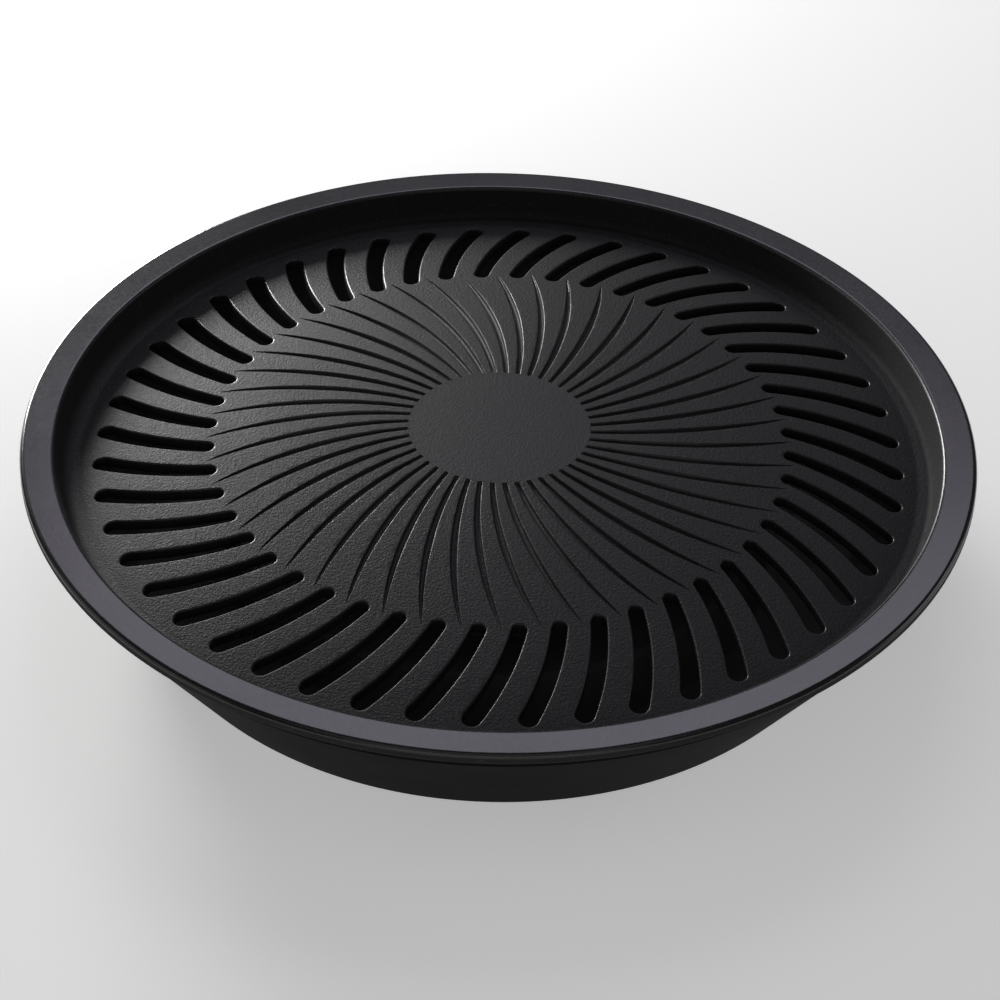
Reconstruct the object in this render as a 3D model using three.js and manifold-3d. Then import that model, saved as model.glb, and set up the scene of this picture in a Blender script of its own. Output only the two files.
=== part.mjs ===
import * as THREE from 'three';
import { mergeGeometries, mergeVertices } from 'three/addons/utils/BufferGeometryUtils.js';
import Module from 'manifold-3d';

const wasm = await Module();
wasm.setup();

// A round table grill: a slotted, slightly domed cast plate lies loose on a ring-shaped
// sheet tray, whose middle is open for the flame. Lengths are in millimetres.
// The Z axis is the axis of both pieces, and the tray stands on z = 0.

// How finely round shapes are divided
const TURN_SEGMENTS = 72;
const ROUND_STEPS = 2;
const DOME_STEPS = 3;
const SLOT_END_STEPS = 4;
const SLOT_SIDE_STEPS = 3;

// Plate: rim with a turned-down lip
const RIM_RADIUS = 159;
const RIM_TOP_HEIGHT = 54;
const RIM_THICKNESS = 3;
const RIM_EDGE_ROUND_WIDTH = 4.5;
const RIM_EDGE_ROUND_DEPTH = 1.8;
const RIM_FLAT_WIDTH = 3;
const LIP_DROP = 3.8;
const LIP_EDGE_ROUND = 0.8;

// Plate: drain channel between the rim and the dome
const CHANNEL_DEPTH = 10.9;
const CHANNEL_MOUTH_ROUND = 4;
const CHANNEL_WALL_LEAN = 2.2;
const CHANNEL_CORNER_ROUND = 2.5;
const CHANNEL_FLOOR_WIDTH = 5;
const CHANNEL_SLOPE_WIDTH = 3.3;

// Plate: domed cooking surface with a flat disc in its middle
const PLATE_THICKNESS = 4;
const DOME_CURVE_RADIUS = 740;
const DOME_CROWN_RISE = 2.6;
const DISC_RADIUS = 30;

// Plate: slots through the dome, curved and a little narrower inwards
const SLOT_COUNT = 48;
const SLOT_EDGE_MARGIN = 1.2;
const SLOT_LENGTH = 41;
const SLOT_OUTER_WIDTH = 6.9;
const SLOT_INNER_WIDTH = 5.5;
const SLOT_SAG = 1.7;
const SLOT_START_DEGREES = 192.3;
const SLOT_SWEEP_DEGREES = 7.2;

// Plate: drain grooves, whose tips lie between the inner ends of the slots
const GROOVE_WIDTH = 3.4;
const GROOVE_DEPTH = 1.2;
const GROOVE_TIP_OVERLAP = 3.1;
const GROOVE_DISC_MARGIN = 0.6;
const GROOVE_TIP_DEGREES = 196.5;
const GROOVE_SWEEP_DEGREES = 12.5;
// Stations down a groove from its tip, and its width there, as shares of its length and width
const GROOVE_STATION_SHARES = [0, 0.1, 0.4, 0.7, 1];
const GROOVE_WIDTH_SHARES = [0, 0.54, 0.97, 0.83, 0.4];

// Tray: bent from sheet, with an upright collar and a rolled edge that carry the plate
const SHEET_THICKNESS = 1;
const SHEET_BEND_ROUND = 2;
const SEAT_CLEARANCE = 0.3;
const BEAD_RADIUS = 1.1;
const COLLAR_HEIGHT = 5.4;
const TROUGH_WIDTH = 29.7;
const PLATFORM_WALL_RUN = 5;
const PLATFORM_HEIGHT = 22;
const PLATFORM_WIDTH = 24;
const FLAME_OPENING_RADIUS = 64;
const FLAME_EDGE_RISE = 3;
const FLAME_EDGE_WIDTH = 4;

// Cutting blocks reach this far beyond the faces that they cut
const CUT_OVERRUN = 5;

// Rim and channel of the plate, worked out from the rim inwards
const lipInnerRadius = RIM_RADIUS - RIM_THICKNESS;
const lipBottomHeight = RIM_TOP_HEIGHT - LIP_DROP;
const rimUnderHeight = RIM_TOP_HEIGHT - RIM_THICKNESS;
const rimFlatOuterRadius = RIM_RADIUS - RIM_EDGE_ROUND_WIDTH;
const rimFlatInnerRadius = rimFlatOuterRadius - RIM_FLAT_WIDTH;
const channelMouthRadius = rimFlatInnerRadius - CHANNEL_MOUTH_ROUND;
const channelMouthHeight = RIM_TOP_HEIGHT - CHANNEL_MOUTH_ROUND;
const channelOuterRadius = channelMouthRadius - CHANNEL_WALL_LEAN;
const channelInnerRadius = channelOuterRadius - CHANNEL_FLOOR_WIDTH;
const channelFloorHeight = RIM_TOP_HEIGHT - CHANNEL_DEPTH;
const channelUnderHeight = channelFloorHeight - PLATE_THICKNESS;
const domeEdgeRadius = channelInnerRadius - CHANNEL_SLOPE_WIDTH;

// Slots and grooves, worked out from the edge of the dome inwards
const slotOuterRadius = domeEdgeRadius - SLOT_EDGE_MARGIN;
const slotInnerRadius = slotOuterRadius - SLOT_LENGTH;
const grooveTipRadius = slotInnerRadius + GROOVE_TIP_OVERLAP;
const grooveInnerRadius = DISC_RADIUS + GROOVE_DISC_MARGIN;

// The tray's collar stands midway between the plate's channel wall and its lip
const collarRadius = (channelMouthRadius + RIM_THICKNESS + lipInnerRadius) / 2 + BEAD_RADIUS;
const collarTopHeight = rimUnderHeight - SEAT_CLEARANCE;
const collarFootHeight = collarTopHeight - COLLAR_HEIGHT;

// The rest of the tray, worked out from the flame opening outwards, on its lower face
const platformRadius = FLAME_OPENING_RADIUS + PLATFORM_WIDTH;
const platformUnderHeight = PLATFORM_HEIGHT - SHEET_THICKNESS;
const troughInnerRadius = platformRadius + PLATFORM_WALL_RUN;
const baseRadius = troughInnerRadius + TROUGH_WIDTH;

const axis = new THREE.Vector2(0, 0);

// Points of an arc of an ellipse, from one angle to another, both ends included
function arc(centre, radii, startDegrees, endDegrees, steps = ROUND_STEPS) {
  const points = [];
  for (let i = 0; i <= steps; i += 1) {
    const angle = THREE.MathUtils.degToRad(THREE.MathUtils.lerp(startDegrees, endDegrees, i / steps));
    points.push(new THREE.Vector2(Math.cos(angle), Math.sin(angle)).multiply(radii).add(centre));
  }
  return points;
}

// A corner between two other points made round: the points of the arc that touches both sides
function roundedCorner(before, corner, after, radius, steps = ROUND_STEPS) {
  const back = before.clone().sub(corner).normalize();
  const ahead = after.clone().sub(corner).normalize();
  const halfAngle = Math.acos(back.dot(ahead)) / 2;
  const start = corner.clone().addScaledVector(back, radius / Math.tan(halfAngle));
  const bisector = back.clone().add(ahead).normalize();
  const centre = corner.clone().addScaledVector(bisector, radius / Math.sin(halfAngle));
  const turn = -Math.sign(back.cross(ahead)) * (Math.PI - 2 * halfAngle);
  const points = [];
  for (let i = 0; i <= steps; i += 1) {
    points.push(start.clone().rotateAround(centre, (turn * i) / steps));
  }
  return points;
}

// A line of points moved sideways by a distance, to the left of the way it runs
function offsetLine(points, distance) {
  return points.map((point, i) => {
    const arriving = point.clone().sub(points[Math.max(i - 1, 0)]).normalize();
    const leaving = points[Math.min(i + 1, points.length - 1)].clone().sub(point).normalize();
    const way = arriving.clone().add(leaving).normalize();
    const miter = distance / Math.max(way.dot(arriving), way.dot(leaving));
    return point.clone().add(new THREE.Vector2(-way.y, way.x).multiplyScalar(miter));
  });
}

// An outline of (radius, height) points turned about the Z axis. The points run anticlockwise
// round the material, with the radius to the right and the height up.
function turned(points) {
  return new THREE.LatheGeometry(points, TURN_SEGMENTS).rotateX(Math.PI / 2);
}

// A flat outline as an upright block between two heights
function upright(outline, bottom, top) {
  const settings = { depth: top - bottom, bevelEnabled: false };
  return new THREE.ExtrudeGeometry(new THREE.Shape(outline), settings).translate(0, 0, bottom);
}

// The same block repeated around the Z axis
function around(geometry, count) {
  const copies = [];
  for (let i = 0; i < count; i += 1) {
    copies.push(geometry.clone().rotateZ((-2 * Math.PI * i) / count));
  }
  return mergeGeometries(copies);
}

// A closed mesh as a solid that can be joined and cut
function solidOf(geometry) {
  const bare = geometry.clone();
  bare.deleteAttribute('normal');
  bare.deleteAttribute('uv');
  const merged = mergeVertices(bare);
  const corners = merged.index.array;
  const triangles = [];
  for (let i = 0; i < corners.length; i += 3) {
    const [a, b, c] = corners.slice(i, i + 3);
    if (a !== b && b !== c && c !== a) triangles.push(a, b, c);
  }
  const vertProperties = new Float32Array(merged.attributes.position.array);
  const triVerts = new Uint32Array(triangles);
  return new wasm.Manifold(new wasm.Mesh({ numProp: 3, vertProperties, triVerts }));
}

// A solid as flat-shaded triangles
function geometryOf(solid) {
  const { vertProperties, triVerts, numProp } = solid.getMesh();
  const positions = [];
  for (const vertex of triVerts) {
    positions.push(...vertProperties.subarray(vertex * numProp, vertex * numProp + 3));
  }
  const geometry = new THREE.BufferGeometry();
  geometry.setAttribute('position', new THREE.Float32BufferAttribute(positions, 3));
  geometry.computeVertexNormals();
  return geometry;
}

// Height of the dome's top over a radius
function domeHeight(radius) {
  const fall = DOME_CURVE_RADIUS - Math.sqrt(DOME_CURVE_RADIUS ** 2 - radius ** 2);
  return RIM_TOP_HEIGHT + DOME_CROWN_RISE - fall;
}

// The dome as (radius, height) points from the axis to its edge, lowered by a distance
function domeLine(drop) {
  const points = [new THREE.Vector2(0, domeHeight(DISC_RADIUS) - drop)];
  for (let i = 0; i <= DOME_STEPS; i += 1) {
    const radius = THREE.MathUtils.lerp(DISC_RADIUS, domeEdgeRadius, i / DOME_STEPS);
    points.push(new THREE.Vector2(radius, domeHeight(radius) - drop));
  }
  return points;
}

// The plate's upper face from the axis out to the lip's bottom
function plateTopFace() {
  const floorInner = new THREE.Vector2(channelInnerRadius, channelFloorHeight);
  const floorOuter = new THREE.Vector2(channelOuterRadius, channelFloorHeight);
  const mouth = new THREE.Vector2(channelMouthRadius, channelMouthHeight);
  const mouthRadii = new THREE.Vector2(CHANNEL_MOUTH_ROUND, CHANNEL_MOUTH_ROUND);
  const mouthCentre = new THREE.Vector2(rimFlatInnerRadius, channelMouthHeight);
  const edgeRadii = new THREE.Vector2(RIM_EDGE_ROUND_WIDTH, RIM_EDGE_ROUND_DEPTH);
  const edgeCentre = new THREE.Vector2(rimFlatOuterRadius, RIM_TOP_HEIGHT - RIM_EDGE_ROUND_DEPTH);
  const lipRadii = new THREE.Vector2(LIP_EDGE_ROUND, LIP_EDGE_ROUND);
  const lipCentre = new THREE.Vector2(RIM_RADIUS - LIP_EDGE_ROUND, lipBottomHeight + LIP_EDGE_ROUND);
  return [
    ...domeLine(0),
    floorInner,
    ...roundedCorner(floorInner, floorOuter, mouth, CHANNEL_CORNER_ROUND),
    ...arc(mouthCentre, mouthRadii, 180, 90),
    ...arc(edgeCentre, edgeRadii, 90, 0),
    ...arc(lipCentre, lipRadii, 0, -90),
  ];
}

// The plate's lower face from the axis out to the inside of the lip
function plateUnderFace() {
  const floorInner = new THREE.Vector2(channelInnerRadius, channelUnderHeight);
  const floorOuter = new THREE.Vector2(channelOuterRadius + RIM_THICKNESS, channelUnderHeight);
  const wallTop = new THREE.Vector2(channelMouthRadius + RIM_THICKNESS, rimUnderHeight);
  return [
    ...domeLine(PLATE_THICKNESS),
    floorInner,
    ...roundedCorner(floorInner, floorOuter, wallTop, CHANNEL_CORNER_ROUND + RIM_THICKNESS),
    wallTop,
    new THREE.Vector2(lipInnerRadius, rimUnderHeight),
    new THREE.Vector2(lipInnerRadius, lipBottomHeight),
  ];
}

// The outline of one slot: an arc with round ends
function slotOutline() {
  const outer = new THREE.Vector2(slotOuterRadius - SLOT_OUTER_WIDTH / 2, 0);
  const inner = new THREE.Vector2(slotInnerRadius + SLOT_INNER_WIDTH / 2, 0);
  outer.rotateAround(axis, THREE.MathUtils.degToRad(SLOT_START_DEGREES));
  inner.rotateAround(axis, THREE.MathUtils.degToRad(SLOT_START_DEGREES + SLOT_SWEEP_DEGREES));
  const along = inner.clone().sub(outer).normalize();
  const bulge = new THREE.Vector2(along.y, -along.x).multiplyScalar(2 * SLOT_SAG);
  const centreLine = new THREE.QuadraticBezierCurve(outer, outer.clone().lerp(inner, 0.5).add(bulge), inner);
  const leftSide = [];
  const rightSide = [];
  for (let i = 0; i <= SLOT_SIDE_STEPS; i += 1) {
    const point = centreLine.getPoint(i / SLOT_SIDE_STEPS);
    const tangent = centreLine.getTangent(i / SLOT_SIDE_STEPS);
    const halfWidth = THREE.MathUtils.lerp(SLOT_OUTER_WIDTH, SLOT_INNER_WIDTH, i / SLOT_SIDE_STEPS) / 2;
    const sideways = new THREE.Vector2(-tangent.y, tangent.x).multiplyScalar(halfWidth);
    leftSide.unshift(point.clone().add(sideways));
    rightSide.push(point.clone().sub(sideways));
  }
  const roundEnd = (centre, start) => {
    const points = [];
    for (let i = 1; i < SLOT_END_STEPS; i += 1) {
      points.push(start.clone().rotateAround(centre, (Math.PI * i) / SLOT_END_STEPS));
    }
    return points;
  };
  return [
    ...rightSide,
    ...roundEnd(inner, rightSide.at(-1)),
    ...leftSide,
    ...roundEnd(outer, leftSide.at(-1)),
  ];
}

// The outline of one drain groove: pointed by the slots, widest halfway, square at the disc
function grooveOutline() {
  const side = (direction) => GROOVE_STATION_SHARES.map((station, i) => {
    const radius = THREE.MathUtils.lerp(grooveTipRadius, grooveInnerRadius, station);
    const sideways = (direction * GROOVE_WIDTH * GROOVE_WIDTH_SHARES[i]) / 2;
    const degrees = GROOVE_TIP_DEGREES - GROOVE_SWEEP_DEGREES * station;
    return new THREE.Vector2(radius, sideways).rotateAround(axis, THREE.MathUtils.degToRad(degrees));
  });
  return [...side(1), ...side(-1).slice(1).reverse()];
}

// The plate: its turned section with the slots cut through it and the grooves cut into it.
// A block for a groove loses what lies below the groove's floor before it cuts.
function grillPlateGeometry() {
  const section = [...plateUnderFace(), ...plateTopFace().reverse()];
  const floorSection = section.map((point) => new THREE.Vector2(point.x, point.y - GROOVE_DEPTH));
  const bottom = channelUnderHeight - CUT_OVERRUN;
  const top = domeHeight(0) + CUT_OVERRUN;
  const slots = solidOf(around(upright(slotOutline(), bottom, top), SLOT_COUNT));
  const grooveBlocks = solidOf(around(upright(grooveOutline(), bottom, top), SLOT_COUNT));
  const grooves = grooveBlocks.subtract(solidOf(turned(floorSection)));
  return geometryOf(solidOf(turned(section)).subtract(slots).subtract(grooves));
}

// The tray's outer and lower face, from the flame opening out to the top of the collar
function trayOuterFace() {
  const innerBend = SHEET_BEND_ROUND;
  const outerBend = SHEET_BEND_ROUND + SHEET_THICKNESS;
  const opening = new THREE.Vector2(FLAME_OPENING_RADIUS, platformUnderHeight + FLAME_EDGE_RISE);
  const openingFoot = new THREE.Vector2(FLAME_OPENING_RADIUS + FLAME_EDGE_WIDTH, platformUnderHeight);
  const platformEdge = new THREE.Vector2(platformRadius - SHEET_THICKNESS, platformUnderHeight);
  const troughInner = new THREE.Vector2(troughInnerRadius - SHEET_THICKNESS, 0);
  const troughOuter = new THREE.Vector2(baseRadius, 0);
  const collarFoot = new THREE.Vector2(collarRadius, collarFootHeight);
  const collarTop = new THREE.Vector2(collarRadius, collarTopHeight - BEAD_RADIUS);
  return [
    opening,
    openingFoot,
    ...roundedCorner(openingFoot, platformEdge, troughInner, innerBend, 1),
    ...roundedCorner(platformEdge, troughInner, troughOuter, outerBend, 1),
    ...roundedCorner(troughInner, troughOuter, collarFoot, outerBend, 1),
    collarFoot,
    collarTop,
  ];
}

// The tray: its sheet between the outer face and an offset of it, with the rolled edge on top
function dripTrayGeometry() {
  const outerFace = trayOuterFace();
  const innerFace = offsetLine(outerFace, SHEET_THICKNESS);
  const beadRadii = new THREE.Vector2(BEAD_RADIUS, BEAD_RADIUS);
  const beadCentre = new THREE.Vector2(collarRadius - BEAD_RADIUS, collarTopHeight - BEAD_RADIUS);
  const beadEnd = 360 - THREE.MathUtils.radToDeg(Math.acos((BEAD_RADIUS - SHEET_THICKNESS) / BEAD_RADIUS));
  const bead = [
    ...arc(beadCentre, beadRadii, 0, 90).slice(1),
    ...arc(beadCentre, beadRadii, 90, beadEnd, 2 * ROUND_STEPS).slice(1),
  ];
  return turned([...outerFace, ...bead, ...innerFace.slice(0, -1).reverse(), outerFace[0]]);
}

const grillPlate = new THREE.Mesh(
  grillPlateGeometry(),
  new THREE.MeshStandardMaterial({ color: 0x2d2c31, roughness: 0.55, metalness: 0.3 }),
);
grillPlate.name = 'grill_plate';

const dripTray = new THREE.Mesh(
  dripTrayGeometry(),
  new THREE.MeshStandardMaterial({ color: 0x161616, roughness: 0.5, metalness: 0.2 }),
);
dripTray.name = 'drip_tray';

const tableGrill = new THREE.Group();
tableGrill.add(grillPlate, dripTray);

export default tableGrill;
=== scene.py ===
# %% [markdown]
# # A slotted grill plate on its drip tray
#
# The object is a table grill for a portable gas stove. It has two loose pieces: a dark non-stick
# plate, cast in aluminium, and a black tray, pressed from sheet steel, that carries the plate and
# catches fat and water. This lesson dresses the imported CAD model: both pieces are modelled again
# with the fine edges and curves of the real ones, then get their finishes, lights and a camera.
#
# The CAD model comes in first. It stays where it is and gives the frame that everything rides on.

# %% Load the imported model
import math

import bmesh
import bpy
from mathutils import Matrix, Vector


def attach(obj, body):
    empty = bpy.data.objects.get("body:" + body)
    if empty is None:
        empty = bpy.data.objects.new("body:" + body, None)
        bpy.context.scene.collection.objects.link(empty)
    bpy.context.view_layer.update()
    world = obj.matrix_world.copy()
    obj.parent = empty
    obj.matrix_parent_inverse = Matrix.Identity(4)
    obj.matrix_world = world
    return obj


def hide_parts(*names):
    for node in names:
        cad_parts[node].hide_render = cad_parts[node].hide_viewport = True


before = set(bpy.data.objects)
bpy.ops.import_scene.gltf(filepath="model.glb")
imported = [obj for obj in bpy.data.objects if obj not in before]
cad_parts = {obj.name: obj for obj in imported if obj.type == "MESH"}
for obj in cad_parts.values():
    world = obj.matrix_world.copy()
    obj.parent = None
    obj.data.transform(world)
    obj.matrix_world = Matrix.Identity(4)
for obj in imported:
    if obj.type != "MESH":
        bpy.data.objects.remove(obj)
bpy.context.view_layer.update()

# %% [markdown]
# ## Working by hand, in code
#
# Blender counts in metres and this object in millimetres, so one name turns one into the other.
# Points that lie closer together than `WELD` count as one point.
#
# Operators act on whatever is selected. By hand one clicks on it; here `pick` selects in code, by
# place or by length. `apply_modifier` adds a modifier and bakes its result into the mesh at once.

# %% Helpers for edit mode
MM = 0.001
WELD = 0.004 * MM


def open_for_editing(piece):
    """Makes a piece the only selected one and goes into edit mode."""
    bpy.ops.object.select_all(action="DESELECT")
    piece.select_set(True)
    bpy.context.view_layer.objects.active = piece
    bpy.ops.object.mode_set(mode="EDIT")


def pick(piece, kind, wanted):
    """Selects the vertices or edges for which wanted(element) is true."""
    bpy.ops.mesh.select_mode(type=kind)
    bpy.ops.mesh.select_all(action="DESELECT")
    mesh = bmesh.from_edit_mesh(piece.data)
    elements = {"VERT": mesh.verts, "EDGE": mesh.edges}[kind]
    for element in elements:
        if wanted(element):
            element.select_set(True)
    mesh.select_flush_mode()
    bmesh.update_edit_mesh(piece.data)


def apply_modifier(piece, name, kind, **settings):
    """Adds a modifier to a piece, sets it and applies it."""
    bpy.ops.object.select_all(action="DESELECT")
    piece.select_set(True)
    bpy.context.view_layer.objects.active = piece
    modifier = piece.modifiers.new(name, kind)
    for setting, value in settings.items():
        setattr(modifier, setting, value)
    bpy.ops.object.modifier_apply(modifier=name)


def report(piece):
    """Prints the size of a piece in millimetres and how many faces it has."""
    corners = [Vector(corner) for corner in piece.bound_box]
    low = [round(min(c[i] for c in corners) / MM, 2) for i in range(3)]
    high = [round(max(c[i] for c in corners) / MM, 2) for i in range(3)]
    print(f"{piece.name}: {low} to {high} mm, {len(piece.data.polygons)} faces")


# %% [markdown]
# ## Turned sections
#
# Both pieces are round, so each starts as a section: a chain of points to the right of the axis.
# Such a chain could be a curve with a Screw modifier. Here it is drawn as one draws it by hand in
# edit mode, a single point that is extruded from place to place, and then spun about the axis.
#
# A cast or pressed piece has no sharp corner. `arc` gives the points of a round edge, and
# `rounded` swaps a corner for an arc that touches both of its sides.

# %% Draw and spin a section
TURN_STEPS = 192


def arc(centre, radii, start, end, steps):
    """Points (radius, height) on part of an ellipse, from one angle in degrees to another."""
    angles = [math.radians(start + (end - start) * i / steps) for i in range(steps + 1)]
    across, up = radii
    return [(centre[0] + across * math.cos(a), centre[1] + up * math.sin(a)) for a in angles]


def rounded(before, corner, after, radius, steps):
    """Points of the arc that rounds a corner between two other points."""
    corner = Vector(corner)
    back, ahead = (Vector(before) - corner).normalized(), (Vector(after) - corner).normalized()
    half_angle = back.angle(ahead) / 2
    centre = corner + (back + ahead).normalized() * (radius / math.sin(half_angle))
    start = corner + back * (radius / math.tan(half_angle)) - centre
    side = 1 if ahead.x * back.y - ahead.y * back.x > 0 else -1
    points = []
    for i in range(steps + 1):
        turn = side * (math.pi - 2 * half_angle) * i / steps
        spoke = Matrix.Rotation(turn, 2) @ start
        points.append((centre.x + spoke.x, centre.y + spoke.y))
    return points


def draw_chain(name, points):
    """Draws points, in millimetres, as a chain of edges: one point extruded from place to place."""
    bpy.ops.object.select_all(action="DESELECT")
    bpy.ops.mesh.primitive_plane_add(size=MM)
    piece = bpy.context.object
    piece.name = piece.data.name = name
    bpy.ops.object.mode_set(mode="EDIT")
    bpy.ops.mesh.select_mode(type="VERT")
    bpy.ops.mesh.merge(type="CENTER")
    bpy.ops.transform.translate(value=Vector(points[0]) * MM)
    for here, there in zip(points, points[1:]):
        step = (Vector(there) - Vector(here)) * MM
        bpy.ops.mesh.extrude_region_move(TRANSFORM_OT_translate={"value": step})
    bpy.ops.mesh.select_all(action="SELECT")
    bpy.ops.mesh.remove_doubles(threshold=WELD)
    bpy.ops.object.mode_set(mode="OBJECT")
    return piece


def spin_section(name, points):
    """Draws a section of (radius, height) points and spins it about Z into a closed skin."""
    piece = draw_chain(name, [(radius, 0, height) for radius, height in points])
    open_for_editing(piece)
    bpy.ops.mesh.select_all(action="SELECT")
    bpy.ops.mesh.spin(steps=TURN_STEPS, angle=math.tau, center=(0, 0, 0), axis=(0, 0, 1))
    bpy.ops.mesh.select_all(action="SELECT")
    bpy.ops.mesh.remove_doubles(threshold=WELD)
    bpy.ops.mesh.normals_make_consistent(inside=False)
    bpy.ops.object.mode_set(mode="OBJECT")
    report(piece)
    return piece


# %% [markdown]
# ## The plate's blank
#
# The plate is a die casting. From the rim inwards it has a flange with a soft outer edge and a
# short turned-down lip, then a channel that takes the fat, then the cooking surface.
#
# The real surface is a shallow dome. It is drawn flat for now, at the height of its edge, because
# slots and grooves are far easier to cut into a flat sheet. It gets its dome when they are there,
# and the rings of points across it are what will bend.

# %% Sizes of the plate
RIM_RADIUS = 159.0
RIM_TOP = 54.0
RIM_THICKNESS = 3.0
RIM_EDGE_ROUND = (1.7, 1.3)
RIM_FLAT_INNER = 149.1
LIP_BOTTOM = 50.2
LIP_ROUND = 0.8
MOUTH_ROUND = 1.6
WALL_FOOT = 145.3
WALL_TOP = 147.5
CORNER_ROUND = 2.5
FLOOR_INNER = 140.3
FLOOR_HEIGHT = 43.1
PLATE_THICKNESS = 4.0
UNDER_ROUND = 1.0
LIP_CORNER_ROUND = 0.3
DOME_EDGE = 137.0
DOME_EDGE_ROUND = 6.0
DISC_RADIUS = 30.0
DOME_CURVE = 740.0
DOME_CENTRE = -683.4
CROWN_RADIUS = 60.0
CROWN_TOP = 55.985


def dome_height(radius):
    """Height of the finished dome over a radius: part of a sphere with a slightly flatter crown."""
    sphere = DOME_CENTRE + math.sqrt(DOME_CURVE**2 - max(radius, CROWN_RADIUS) ** 2)
    if radius >= CROWN_RADIUS:
        return sphere
    slope = CROWN_RADIUS / (sphere - DOME_CENTRE)
    crown = CROWN_TOP - sphere
    return CROWN_TOP - crown * (radius / CROWN_RADIUS) ** (slope * CROWN_RADIUS / crown)


flat_top = dome_height(DOME_EDGE)
flat_bottom = flat_top - PLATE_THICKNESS
print("dome rises", round(dome_height(0) - flat_top, 2), "mm from its edge to the disc")

# %% Section of the plate, above and below
DISC_RINGS = [0.0, 7.5, 15.0, 22.5]
DOME_RINGS = 15
rings = DISC_RINGS + [
    DISC_RADIUS + (DOME_EDGE - DISC_RADIUS) * i / DOME_RINGS for i in range(DOME_RINGS + 1)
]

edge, floor = (DOME_EDGE, flat_top), (FLOOR_INNER, FLOOR_HEIGHT)
wall_foot, wall_top = (WALL_FOOT, FLOOR_HEIGHT), (WALL_TOP, RIM_TOP - MOUTH_ROUND)
mouth_centre = (RIM_FLAT_INNER, RIM_TOP - MOUTH_ROUND)
outer_centre = (RIM_RADIUS - RIM_EDGE_ROUND[0], RIM_TOP - RIM_EDGE_ROUND[1])
lip_centre = (RIM_RADIUS - LIP_ROUND, LIP_BOTTOM + LIP_ROUND)
upper_face = [
    *[(radius, flat_top) for radius in rings],
    *rounded(edge, floor, wall_foot, DOME_EDGE_ROUND, 4),
    *rounded(floor, wall_foot, wall_top, CORNER_ROUND, 7),
    *arc(mouth_centre, (MOUTH_ROUND, MOUTH_ROUND), 180, 90, 9),
    *arc(outer_centre, RIM_EDGE_ROUND, 90, 0, 10),
    *arc(lip_centre, (LIP_ROUND, LIP_ROUND), 0, -90, 4),
]

under_height, rim_under = FLOOR_HEIGHT - PLATE_THICKNESS, RIM_TOP - RIM_THICKNESS
lip_inner = RIM_RADIUS - RIM_THICKNESS
edge, floor = (DOME_EDGE, flat_bottom), (FLOOR_INNER, under_height)
under_foot = (WALL_FOOT + RIM_THICKNESS, under_height)
under_top = (WALL_TOP + RIM_THICKNESS, rim_under)
lip_top, lip_foot = (lip_inner, rim_under), (lip_inner, LIP_BOTTOM)
lower_face = [
    *[(radius, flat_bottom) for radius in rings],
    *rounded(edge, floor, under_foot, DOME_EDGE_ROUND, 4),
    *rounded(floor, under_foot, under_top, CORNER_ROUND + RIM_THICKNESS, 7),
    *rounded(under_foot, under_top, lip_top, UNDER_ROUND, 4),
    *rounded(under_top, lip_top, lip_foot, LIP_CORNER_ROUND, 3),
    *rounded(lip_top, lip_foot, (RIM_RADIUS, LIP_BOTTOM), LIP_CORNER_ROUND, 3),
]
print("section points:", len(upper_face), "above,", len(lower_face), "below")

# %% Spin the blank
grill_plate = spin_section("cast_grill_plate", upper_face + lower_face[::-1])

# %% [markdown]
# ## The slots
#
# Forty-eight slots let the fat drip through. Each is a slightly bent and tapered capsule, and the
# casting and its coating have rounded its edges. A Boolean modifier cuts it, given a solid of its
# shape, and that solid is made lying straight.
#
# A plane gets round ends from a vertex bevel and is extruded downwards. Each inset then steps down
# and inwards round the quarter circle of the edge, so the cut leaves that edge in the plate.

# %% The outline of a slot, lying straight
SLOT_COUNT = 48
SLOT_WIDTHS = (6.9, 5.5)
# Radius and angle of the middle of each round end, the outer one first
SLOT_CENTRES = ((132.35, 192.3), (97.55, 199.5))
SLOT_SAG = 1.7
# How round the edge is, and the angles of its quarter circle at which the solid has a step
SLOT_EDGE = 0.65
SLOT_EDGE_ANGLES = (62, 35, 0)
# How far the solid goes on past the edge, for a clean cut
OVERSHOOT = 0.12
LONG_SIDE = 20


def polar(radius, degrees):
    """A point at a radius and an angle about the Z axis."""
    angle = math.radians(degrees)
    return Vector((radius * math.cos(angle), radius * math.sin(angle), 0))


outer_end, inner_end = (polar(*place) for place in SLOT_CENTRES)
chord = inner_end - outer_end
bend_radius = chord.length**2 / (8 * SLOT_SAG) + SLOT_SAG / 2
straight_length = 2 * bend_radius * math.asin(chord.length / 2 / bend_radius)
widths = [width + SLOT_EDGE + 2 * OVERSHOOT for width in SLOT_WIDTHS]
ends = (-straight_length / 2 - widths[0] / 2, straight_length / 2 + widths[1] / 2)

bpy.ops.object.select_all(action="DESELECT")
bpy.ops.mesh.primitive_plane_add(size=MM)
slot_cutter = bpy.context.object
slot_cutter.name = "slot_cutter"
bpy.ops.object.mode_set(mode="EDIT")
bpy.ops.transform.resize(value=(ends[1] - ends[0], widths[0], 1))
bpy.ops.transform.translate(value=((ends[0] + ends[1]) / 2 * MM, 0, 0))
pick(slot_cutter, "VERT", lambda v: v.co.x > 0)
bpy.ops.transform.resize(value=(1, widths[1] / widths[0], 1))
for end, width in zip(ends, widths):
    pick(slot_cutter, "VERT", lambda v: abs(v.co.x - end * MM) < WELD)
    bpy.ops.mesh.bevel(offset=width / 2 * MM, segments=7, affect="VERTICES", clamp_overlap=False)
bpy.ops.mesh.select_all(action="SELECT")
bpy.ops.mesh.remove_doubles(threshold=0.05 * MM)
pick(slot_cutter, "EDGE", lambda e: e.calc_length() > LONG_SIDE * MM)
bpy.ops.mesh.subdivide(number_cuts=9)
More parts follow.
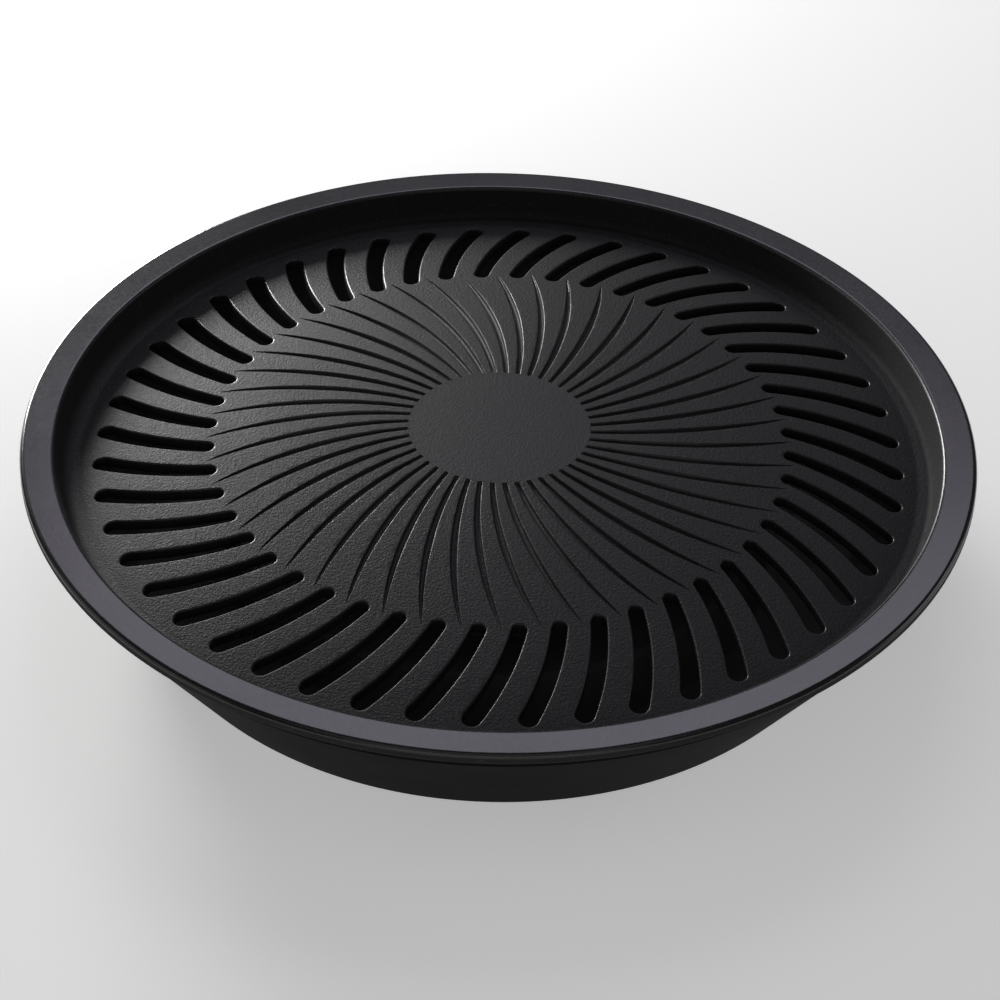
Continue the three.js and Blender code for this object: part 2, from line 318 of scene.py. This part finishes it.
bpy.ops.object.mode_set(mode="OBJECT")
report(slot_cutter)

# %% Its rounded edge, step by step down from the surface
START_ABOVE = 1.0
half_sheet = PLATE_THICKNESS / 2
edge_steps = [(SLOT_EDGE, 0.0)] + [
    (SLOT_EDGE * (1 - math.cos(angle)), SLOT_EDGE * (1 - math.sin(angle)))
    for angle in map(math.radians, SLOT_EDGE_ANGLES)
]
first_slope = (edge_steps[1][1] - edge_steps[0][1]) / (edge_steps[0][0] - edge_steps[1][0])
edge_steps[0] = (SLOT_EDGE + OVERSHOOT, -OVERSHOOT * first_slope)

open_for_editing(slot_cutter)
bpy.ops.mesh.select_all(action="SELECT")
bpy.ops.mesh.flip_normals()
bpy.ops.transform.translate(value=(0, 0, (half_sheet + START_ABOVE) * MM))
down = (0, 0, -(START_ABOVE + edge_steps[0][1]) * MM)
bpy.ops.mesh.extrude_region_move(TRANSFORM_OT_translate={"value": down})
for (wide, high), (narrow, low) in zip(edge_steps, edge_steps[1:]):
    bpy.ops.mesh.inset(thickness=(wide - narrow) * MM, depth=(low - high) * MM)
down = (0, 0, -(half_sheet - SLOT_EDGE) * MM)
bpy.ops.mesh.extrude_region_move(TRANSFORM_OT_translate={"value": down})
bpy.ops.mesh.delete(type="ONLY_FACE")
bpy.ops.object.mode_set(mode="OBJECT")
report(slot_cutter)

# %% [markdown]
# The lower edge of a slot is as round as the upper one, so the Mirror modifier makes the lower half
# of the solid. Simple Deform then bends it. Its angle is the one of an arc as long as the solid.

# %% Mirror, bend and place the slot
mirror = {"use_axis": (False, False, True), "use_clip": True}
apply_modifier(slot_cutter, "lower half", "MIRROR", **mirror)
bend_angle = slot_cutter.dimensions.x / MM / bend_radius
bend = {"deform_method": "BEND", "deform_axis": "Z", "angle": bend_angle}
apply_modifier(slot_cutter, "bend", "SIMPLE_DEFORM", **bend)

middle = (outer_end + inner_end) / 2 + Vector((0, 0, (flat_top + flat_bottom) / 2))
slot_cutter.matrix_world = (
    Matrix.Translation(middle * MM)
    @ Matrix.Rotation(math.atan2(chord.y, chord.x), 4, "Z")
    @ Matrix.Translation((0, -SLOT_SAG * MM, 0))
)
bpy.ops.object.transform_apply()
report(slot_cutter)

# %% [markdown]
# ## The grooves
#
# Between the slots start fine grooves that lead to the disc in the middle. They are shallow, with
# steep walls, a soft upper edge and a narrow floor, and they narrow to a point at the slots.
#
# The groove's section is drawn once and closed with a face. That face is extruded from station to
# station along a straight line, and scaled at each. The stations are then turned about the plate's
# axis, each a little further, and the straight bar becomes a swirl.

# %% One groove as a solid
GROOVE_RADII = (97.9, 30.4)
GROOVE_DEGREES = (196.5, 184.0)
GROOVE_STATIONS = 18
# Where along its length a groove is widest, how narrow its tip is, and how much it narrows again
GROOVE_WIDEST = 0.48
GROOVE_TIP = 0.004
GROOVE_TAPER = 0.36
# Half of the groove's section at its widest, from above the surface to the middle of its floor
GROOVE_SECTION = [
    (1.55, 0.6),
    (1.55, 0.06),
    (1.28, -0.1),
    (1.1, -0.34),
    (0.8, -1.08),
    (0.42, -1.28),
    (0, -1.32),
]


def groove_width(share):
    """Width of the groove along its length, from its tip to the disc, as a share of its widest."""
    if share < GROOVE_WIDEST:
        return max(share / GROOVE_WIDEST, GROOVE_TIP) ** 0.45
    return 1 - GROOVE_TAPER * ((share - GROOVE_WIDEST) / (1 - GROOVE_WIDEST)) ** 1.4


def groove_depth(share):
    """Depth, the same way. It is less where the groove is narrow, and at the disc's end."""
    return min(1.0, 1.25 * groove_width(share)) * min(1.0, (1.006 - share) * 60)


section = GROOVE_SECTION + [(-width, height) for width, height in GROOVE_SECTION[-2::-1]]
section.append(section[0])
groove_cutter = draw_chain("groove_cutter", [(GROOVE_RADII[0], y, z) for y, z in section])
shares = [i / GROOVE_STATIONS for i in range(GROOVE_STATIONS + 1)] + [0.99]
shares.sort()
stations = [GROOVE_RADII[0] + (GROOVE_RADII[1] - GROOVE_RADII[0]) * share for share in shares]

open_for_editing(groove_cutter)
bpy.ops.mesh.select_all(action="SELECT")
bpy.ops.mesh.edge_face_add()
was_wide, was_deep, was_at = 1.0, 1.0, stations[0]
for share, at in zip(shares, stations):
    if at != was_at:
        step = ((at - was_at) * MM, 0, 0)
        bpy.ops.mesh.extrude_region_move(TRANSFORM_OT_translate={"value": step})
    wide, deep = groove_width(share), groove_depth(share)
    scale = (1, wide / was_wide, deep / was_deep)
    bpy.ops.transform.resize(value=scale, center_override=(at * MM, 0, 0))
    was_wide, was_deep, was_at = wide, deep, at
bpy.ops.mesh.select_all(action="SELECT")
bpy.ops.mesh.normals_make_consistent(inside=False)
for share, at in zip(shares, stations):
    pick(groove_cutter, "VERT", lambda v: abs(v.co.x - at * MM) < WELD)
    turn = math.radians(GROOVE_DEGREES[0] + (GROOVE_DEGREES[1] - GROOVE_DEGREES[0]) * share)
    bpy.ops.transform.rotate(value=-turn, orient_axis="Z", center_override=(0, 0, 0))
bpy.ops.mesh.select_all(action="SELECT")
bpy.ops.transform.translate(value=(0, 0, flat_top * MM))
bpy.ops.object.mode_set(mode="OBJECT")
report(groove_cutter)

# %% [markdown]
# ## Cutting the plate
#
# Both solids are joined into one object and spun about the axis as copies, 48 of each. One Boolean
# modifier then cuts them all. They don't touch one another, so the Boolean stays quick and clean.

# %% Copy the solids round the plate and cut
bpy.ops.object.select_all(action="DESELECT")
groove_cutter.select_set(True)
slot_cutter.select_set(True)
bpy.context.view_layer.objects.active = slot_cutter
bpy.ops.object.join()
open_for_editing(slot_cutter)
bpy.ops.mesh.select_all(action="SELECT")
copies = SLOT_COUNT - 1
bpy.ops.mesh.spin(
    steps=copies,
    angle=math.tau * copies / SLOT_COUNT,
    dupli=True,
    use_auto_merge=False,
    center=(0, 0, 0),
    axis=(0, 0, 1),
)
bpy.ops.object.mode_set(mode="OBJECT")
report(slot_cutter)

cut = {"operation": "DIFFERENCE", "object": slot_cutter}
apply_modifier(grill_plate, "slots and grooves", "BOOLEAN", **cut)
bpy.data.objects.remove(slot_cutter)
report(grill_plate)

# %% [markdown]
# ## The dome
#
# The flat plate now gets its dome. A vertex group says how much each vertex has to rise, as a share
# of the middle's rise, and a Displace modifier lifts by that share. Slots and grooves rise with it.
#
# Then the plate is shaded smooth, but for its sharpest edges. Weighted normals let the large faces
# lead, so they look even and the light only turns on the narrow rounded ones between them.

# %% Raise the dome
rise = dome_height(0) - flat_top
dome_group = grill_plate.vertex_groups.new(name="dome")
for vertex in grill_plate.data.vertices:
    radius = vertex.co.xy.length / MM
    if radius < DOME_EDGE:
        dome_group.add([vertex.index], (dome_height(radius) - flat_top) / rise, "REPLACE")
lift = {"direction": "Z", "mid_level": 0, "strength": rise * MM, "vertex_group": "dome"}
apply_modifier(grill_plate, "dome", "DISPLACE", **lift)
grill_plate.vertex_groups.clear()
report(grill_plate)

# %% Shade the plate smooth
SMOOTH_ANGLE = math.radians(38)


def shade_smooth(piece):
    """Shades a piece smooth, but for its sharpest edges, and lets large faces lead the shading."""
    bpy.ops.object.select_all(action="DESELECT")
    piece.select_set(True)
    bpy.context.view_layer.objects.active = piece
    bpy.ops.object.shade_smooth_by_angle(angle=SMOOTH_ANGLE)
    apply_modifier(piece, "weights", "WEIGHTED_NORMAL", mode="FACE_AREA", keep_sharp=True)


shade_smooth(grill_plate)

# %% [markdown]
# ## Marking the cut edges
#
# The coating runs thin over an edge and gets rubbed smooth there, so the edges of slots and grooves
# shine. The finish needs to know where they are. A mask could be painted by hand. Here an attribute
# of the mesh gets a one on each face that lies just below the dome and leans well away from it.

# %% Mark the rounded edges
EDGE_DEPTH = 0.8
EDGE_TILTS = (16, 72)


def mark_faces(piece, name, wanted):
    """Adds an attribute that is one on the faces for which wanted(face) is true, else zero."""
    marks = piece.data.attributes.new(name, "FLOAT", "FACE").data
    for face in piece.data.polygons:
        marks[face.index].value = float(wanted(face))
    print(name, "marks", sum(int(mark.value) for mark in marks), "faces")


def on_cut_edge(face):
    """Whether a face of the plate is part of the rounded edge of a slot or groove."""
    radius = face.center.xy.length / MM
    below_dome = dome_height(radius) - face.center.z / MM
    tilt = math.degrees(math.acos(min(1, max(-1, face.normal.z))))
    near_surface = radius < DOME_EDGE and below_dome < EDGE_DEPTH
    return near_surface and EDGE_TILTS[0] < tilt < EDGE_TILTS[1]


mark_faces(grill_plate, "cut_edge", on_cut_edge)

# %% [markdown]
# ## The tray
#
# The tray is pressed from steel sheet, one millimetre thick. From the inside out it has a flanged
# hole for the flame, a platform, a flat ring that holds water, a sloping wall, and an upright
# collar that carries the plate, with a rolled bead on top.
#
# Its section runs out along the outside of the sheet, round the bead, and back along the inside.
# That inside is the same line of points moved sideways, so the sheet stays one millimetre thick
# and each bend gets a wide side and a tight side, as in a real pressing.

# %% Sizes and section of the tray
SHEET_THICKNESS = 1.0
FLAME_EDGE = (64.0, 24.0)
FLAME_FOOT = (68.0, 21.0)
PLATFORM_EDGE = (87.0, 21.0)
BASE_INNER = (92.0, 0.0)
BASE_OUTER = (122.7, 0.0)
COLLAR_FOOT = (154.35, 45.3)
COLLAR_TOP = (154.35, 49.6)
# Radius of the round bend at each corner between the two ends, and how many steps it gets
BENDS = [(1.6, 5), (2.0, 6), (3.0, 7), (3.0, 6), (3.0, 4)]
BEAD_RADIUS = 1.1
# The angle at which the bead has come round to the inside of the sheet again
BEAD_END = 275.2


def beside(points, distance):
    """A line of points moved sideways, to the left of the way it runs."""
    moved = []
    for i, point in enumerate(points):
        here = Vector(point)
        arriving = (here - Vector(points[max(i - 1, 0)])).normalized()
        leaving = (Vector(points[min(i + 1, len(points) - 1)]) - here).normalized()
        way = (arriving + leaving).normalized()
        miter = distance / max(way.dot(arriving), way.dot(leaving))
        moved.append((here.x - way.y * miter, here.y + way.x * miter))
    return moved


corners = [FLAME_EDGE, FLAME_FOOT, PLATFORM_EDGE, BASE_INNER, BASE_OUTER, COLLAR_FOOT, COLLAR_TOP]
outside = [FLAME_EDGE]
for before, corner, after, (radius, steps) in zip(corners, corners[1:], corners[2:], BENDS):
    outside += rounded(before, corner, after, radius, steps)
outside.append(COLLAR_TOP)
bead_centre = (COLLAR_TOP[0] - BEAD_RADIUS, COLLAR_TOP[1])
bead = arc(bead_centre, (BEAD_RADIUS, BEAD_RADIUS), 0, BEAD_END, 18)
inside = beside(outside, SHEET_THICKNESS)[:-1]
drip_tray = spin_section("pressed_drip_tray", outside + bead[1:] + inside[::-1] + outside[:1])
shade_smooth(drip_tray)

# %% [markdown]
# Inside the tray, the faces that look upwards, below the collar, where fat and water stand, are
# painted a pale grey. That is painted light for the light that falls in through the slots, and the
# same kind of mark finds them.

# %% Mark the upward faces inside, which get painted light
UPWARD = 0.2


def on_painted_light_side(face):
    """Whether a face of the tray looks upwards and lies below the collar."""
    return face.normal.z > UPWARD and face.center.z < COLLAR_FOOT[1] * MM


# These faces get a pale grey further on: painted light
mark_faces(drip_tray, "inner_side", on_painted_light_side)

# %% [markdown]
# ## Maths between sockets
#
# A finish mixes noises and masks. As clicked nodes that soon becomes a tangle, so each socket is
# wrapped in a small class, and a sum in Python adds the Math nodes. The second class is the
# material itself. Its method `node` adds any node, with its settings and what its sockets get, and
# the short methods after it are for the few kinds that come again and again.

# %% Helpers for finishes
class Signal:
    """The output of a node as a value to reckon with."""

    def __init__(self, finish, socket):
        self.finish, self.socket = finish, socket

    def reckon(self, operation, first, second):
        return self.finish.node("Math", {"operation": operation}, {0: first, 1: second})

    def __add__(self, other):
        return self.reckon("ADD", self, other)

    def __sub__(self, other):
        return self.reckon("SUBTRACT", self, other)

    def __rsub__(self, other):
        return self.reckon("SUBTRACT", other, self)

    def __mul__(self, other):
        return self.reckon("MULTIPLY", self, other)

    __radd__, __rmul__ = __add__, __mul__


class Finish:
    """A material whose surface is a Principled shader."""

    def __init__(self, name):
        self.material = bpy.data.materials.new(name)
        self.material.use_nodes = True
        self.tree = self.material.node_tree
        self.tree.nodes.clear()
        self.places = self.node("TexCoord", output="Object")

    def node(self, kind, settings=None, sockets=None, output=0):
        """Adds a node, sets it, then gives its sockets values or links."""
        node = self.tree.nodes.new("ShaderNode" + kind)
        for setting, value in (settings or {}).items():
            if setting == "stops":
                # A new ramp has two stops
                while len(node.color_ramp.elements) < len(value):
                    node.color_ramp.elements.new(0.5)
                for element, (position, grey) in zip(node.color_ramp.elements, value):
                    element.position, element.color = position, (grey, grey, grey, 1)
            else:
                setattr(node, setting, value)
        for socket, value in (sockets or {}).items():
            if isinstance(value, Signal):
                self.tree.links.new(value.socket, node.inputs[socket])
            else:
                node.inputs[socket].default_value = value
        return Signal(self, node.outputs[output])

    def noise(self, size, detail, roughness):
        """Noise whose blobs are about so many millimetres across, from 0 to 1."""
        sockets = {"Vector": self.places, "Scale": 1000 / size}
        sockets.update({"Detail": detail, "Roughness": roughness})
        return self.node("TexNoise", sockets=sockets)

    def ramp(self, signal, *stops):
        """A signal sent through a ramp of (position, value) stops."""
        return self.node("ValToRGB", {"stops": stops}, {"Fac": signal})

    def blend(self, mask, low, high):
        """Two colours mixed by a mask."""
        return self.node("Mix", {"data_type": "RGBA"}, {0: mask, 6: low, 7: high}, output=2)

    def surface(self, **sockets):
        """Adds the Principled shader and the output, and gives back the material."""
        named = {name.replace("_", " "): value for name, value in sockets.items()}
        shader = self.node("BsdfPrincipled", sockets=named)
        output = self.tree.nodes.new("ShaderNodeOutputMaterial")
        self.tree.links.new(shader.socket, output.inputs["Surface"])
        return self.material


# %% [markdown]
# ## The plate's coating
#
# The coating is a dark non-stick paint, sprayed on and baked. It is matte, a little mottled, with
# fine pale specks, and its skin is finely pebbled. The rim is smooth and mirrors the lights. The
# disc is a little smoother than the dome, and the channel's wall is the dullest part. The distance
# from the axis and the height tell these places apart, and the marked edges shine, being rubbed.
#
# Each of these is a mask from 0 to 1. A second, clear coat gives the shine, and the masks say how
# much of it there is. The specks and the pebbles are noises of about a millimetre.

# %% Masks of the plate's finish
coating = Finish("speckled_nonstick")
across = coating.node("VectorMath", {"operation": "MULTIPLY"}, {0: coating.places, 1: (1, 1, 0)})
from_axis = coating.node("VectorMath", {"operation": "LENGTH"}, {0: across}, output="Value")
above_base = coating.node("SeparateXYZ", sockets={0: coating.places}, output="Z")


def fade(distance, whole, start, end):
    """A mask along a distance, with its (millimetres, value) at both ends of the fade."""
    stops = [(place / whole, value) for place, value in (start, end)]
    return coating.ramp(distance * (1 / MM / whole), *stops)


on_rim = fade(from_axis, RIM_RADIUS, (WALL_TOP, 0), (WALL_TOP + 0.9, 1))
on_rim = on_rim * fade(above_base, RIM_TOP, (RIM_TOP - 1.5, 0), (RIM_TOP - 0.8, 1))
on_disc = fade(from_axis, RIM_RADIUS, (DISC_RADIUS - 1.5, 1), (DISC_RADIUS + 0.5, 0))
on_wall = fade(from_axis, RIM_RADIUS, (WALL_FOOT - 2.8, 0), (WALL_FOOT + 0.2, 1))
on_wall = on_wall * (1 - on_rim)
on_edge = coating.node("Attribute", {"attribute_name": "cut_edge"}, output="Fac")
print("masks of the coating:", len(coating.tree.nodes), "nodes")

# %% Its colour, skin and shine
DEEP_PAINT = (0.0062, 0.006, 0.0066, 1)
PALE_PAINT = (0.0125, 0.0122, 0.0133, 1)
SPECK = (0.06, 0.06, 0.064, 1)
PEBBLE_HEIGHT = 0.22

pebbles = coating.noise(0.85, 2, 0.65)
mottle = coating.noise(2.0, 3, 0.7)
clouds = coating.noise(38, 3, 0.55)
paint_tone = 0.5 + 0.9 * (mottle - 0.5) + 0.6 * (clouds - 0.5)
paint = coating.blend(paint_tone, DEEP_PAINT, PALE_PAINT)
specks = coating.ramp(coating.noise(0.9, 1, 0.5), (0.64, 0), (0.76, 1))
paint = coating.blend(specks * 0.5, paint, SPECK)
skin = coating.node(
    "Bump",
    sockets={
        "Strength": 1.0,
        "Distance": PEBBLE_HEIGHT * MM,
        "Height": pebbles * (1 - 0.85 * on_rim) * (1 - 0.25 * on_disc) * (1 - 0.6 * on_wall),
    },
)
rim_shine = 0.74 * (0.3 + 0.8 * mottle + 0.6 * clouds)
roughness = 0.58 + 0.3 * on_wall - 0.41 * on_rim + 0.2 * (mottle - 0.5) + 0.12 * (clouds - 0.5)
coating_material = coating.surface(
    Base_Color=paint,
    Roughness=roughness,
    Specular_IOR_Level=0.42,
    Coat_Weight=rim_shine * on_rim + 0.05 * on_disc + 0.5 * on_edge,
    Coat_Roughness=0.21,
    Normal=skin,
)
grill_plate.data.materials.append(coating_material)
print("coating:", len(coating.tree.nodes), "nodes")

# %% [markdown]
# ## The tray's enamel
#
# The tray is black enamel on steel, matte and deep black outside, with the faint waves called
# orange peel and a few paler places where it has been handled. Its faces that look upwards inside
# get a pale grey instead, painted light for the light that falls in there, and the mark on its
# faces mixes the two.

# %% Finish of the tray
OUTER_BLACKS = (0.0018, 0.0018, 0.0019, 1), (0.0036, 0.0036, 0.0038, 1)
# Pale greys for the upward faces inside the tray: painted light, for the light that falls there
PAINTED_LIGHT_GREYS = (0.13, 0.13, 0.127, 1), (0.17, 0.17, 0.166, 1)
PEEL_HEIGHT = 0.1

enamel = Finish("satin_black_enamel")
peel = enamel.noise(2.4, 1, 0.4)
handled = enamel.noise(30, 3, 0.6)
waves = {"Strength": 0.3, "Distance": PEEL_HEIGHT * MM, "Height": peel}
enamel_skin = enamel.node("Bump", sockets=waves)
black = enamel.blend(handled, *OUTER_BLACKS)
# Painted light: the upward faces inside get a pale grey, as if lit
painted_light_grey = enamel.blend(handled, *PAINTED_LIGHT_GREYS)
painted_light_mask = enamel.node("Attribute", {"attribute_name": "inner_side"}, output="Fac")
enamel_material = enamel.surface(
    Base_Color=enamel.blend(painted_light_mask, black, painted_light_grey),
    Roughness=0.68 + 0.16 * (handled - 0.5),
    Specular_IOR_Level=0.04,
    Normal=enamel_skin,
)
drip_tray.data.materials.append(enamel_material)
print("enamel:", len(enamel.tree.nodes), "nodes")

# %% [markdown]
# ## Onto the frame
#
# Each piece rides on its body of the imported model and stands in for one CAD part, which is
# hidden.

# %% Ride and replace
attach(grill_plate, "plate")
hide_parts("grill_plate")
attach(drip_tray, "tray")
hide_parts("drip_tray")
print("pieces:", grill_plate.name, drip_tray.name)

# %% [markdown]
# ## The studio
#
# The grill stands on a plain pale floor under soft light. A low light at the back, left of the
# middle, grazes the dome and draws the bright edges. Two weaker ones behind, one high and one low,
# are what the smooth rim mirrors, and a large one above the camera fills in. Weak, wide ones at the
# sides and in front keep the grill readable from there too.
#
# The floor glows a little, as paper on a light table does, which thins the shadow of the grill.
# Under the tray it doesn't, or that glow would shine up through the opening and the slots.

# %% Floor
FLOOR_SIZE = 40.0
FLOOR_LEVEL = -0.0002
FLOOR_GLOW = 0.38
# Distances from the axis, in metres, between which the glow starts
GLOW_START = (0.1, 0.12)

bpy.ops.object.select_all(action="DESELECT")
bpy.ops.mesh.primitive_plane_add(size=FLOOR_SIZE, location=(0, 0, FLOOR_LEVEL))
floor_plane = bpy.context.object
floor_plane.name = "studio_floor"
bpy.ops.object.transform_apply()
paper = Finish("studio_paper")
away = paper.node("VectorMath", {"operation": "LENGTH"}, {0: paper.places}, output="Value")
beyond_tray = paper.ramp(away, (GLOW_START[0], 0), (GLOW_START[1], 1))
floor_plane.data.materials.append(
    paper.surface(
        Base_Color=(0.86, 0.86, 0.86, 1),
        Roughness=0.9,
        Emission_Color=paper.blend(beyond_tray, (0, 0, 0, 1), (1, 1, 1, 1)),
        Emission_Strength=FLOOR_GLOW,
    )
)
print("floor:", FLOOR_SIZE, "m wide")

# %% Lights
WORLD_LIGHT = 0.05
LIGHTS = {
    # degrees to the right from straight behind, degrees up, distance, size, power, colour
    "window": (-30, 14.5, 0.95, (0.38, 0.27), 8.4, (1, 1, 0.98)),
    "sky": (3, 51.6, 1.7, (0.96, 0.76), 3.35, (0.88, 0.84, 1)),
    "horizon": (4, 31, 1.7, (1.3, 0.32), 0.33, (0.9, 0.87, 1)),
    "right_wall": (75, 22, 1.7, (0.8, 0.6), 1.4, (1, 1, 1)),
    "left_wall": (-95, 24, 1.9, (1.6, 0.8), 1.6, (1, 1, 1)),
    "front_wall": (180, 24, 1.9, (1.8, 0.9), 2.6, (1, 1, 1)),
    "front_top": (180, 65, 2.4, (2.4, 2.0), 2.6, (1, 1, 1)),
}


def add_light(name, turned, height, distance, size, power, colour):
    """A rectangular light at some angles round the grill, which it looks at."""
    turned, height = math.radians(turned), math.radians(height)
    level = math.cos(height)
    way = Vector((math.sin(turned) * level, math.cos(turned) * level, math.sin(height)))
    bpy.ops.object.light_add(type="AREA", location=way * distance)
    lamp = bpy.context.object
    lamp.name = name
    lamp.rotation_euler = (-way).to_track_quat("-Z", "Y").to_euler()
    lamp.data.shape = "RECTANGLE"
    lamp.data.size, lamp.data.size_y = size
    lamp.data.energy = power
    lamp.data.color = colour


for name, settings in LIGHTS.items():
    add_light(name, *settings)
world = bpy.data.worlds.new("studio")
bpy.context.scene.world = world
world.use_nodes = True
background = world.node_tree.nodes["Background"]
background.inputs["Color"].default_value = (1, 1, 1, 1)
background.inputs["Strength"].default_value = WORLD_LIGHT
bpy.context.scene.view_settings.view_transform = "Standard"
print("lights:", list(LIGHTS))

# %% [markdown]
# ## The camera
#
# The camera stands where the photograph was taken from, in front and about 37 degrees above. Its
# place, its turn and its focal length were worked out from the rim's outline in the photograph. The
# turn is given by two directions: what is right and what is up in the picture.

# %% Camera
CAMERA_PLACE = (0.0, -0.87094, 0.71666)
CAMERA_RIGHT = Vector((0.99971173, 0.01436835, 0.01923562))
CAMERA_UP = Vector((-0.02399867, 0.62211004, 0.78256192))
CAMERA_LENS = 117.99

bpy.ops.object.camera_add(location=CAMERA_PLACE)
camera = bpy.context.object
turn = Matrix((CAMERA_RIGHT, CAMERA_UP, CAMERA_RIGHT.cross(CAMERA_UP))).transposed()
camera.rotation_euler = turn.to_euler()
camera.data.lens = CAMERA_LENS
camera.data.sensor_width = 36
camera.data.clip_start = 0.05
bpy.context.scene.camera = camera
print("camera at", CAMERA_PLACE, "with a lens of", CAMERA_LENS, "mm")
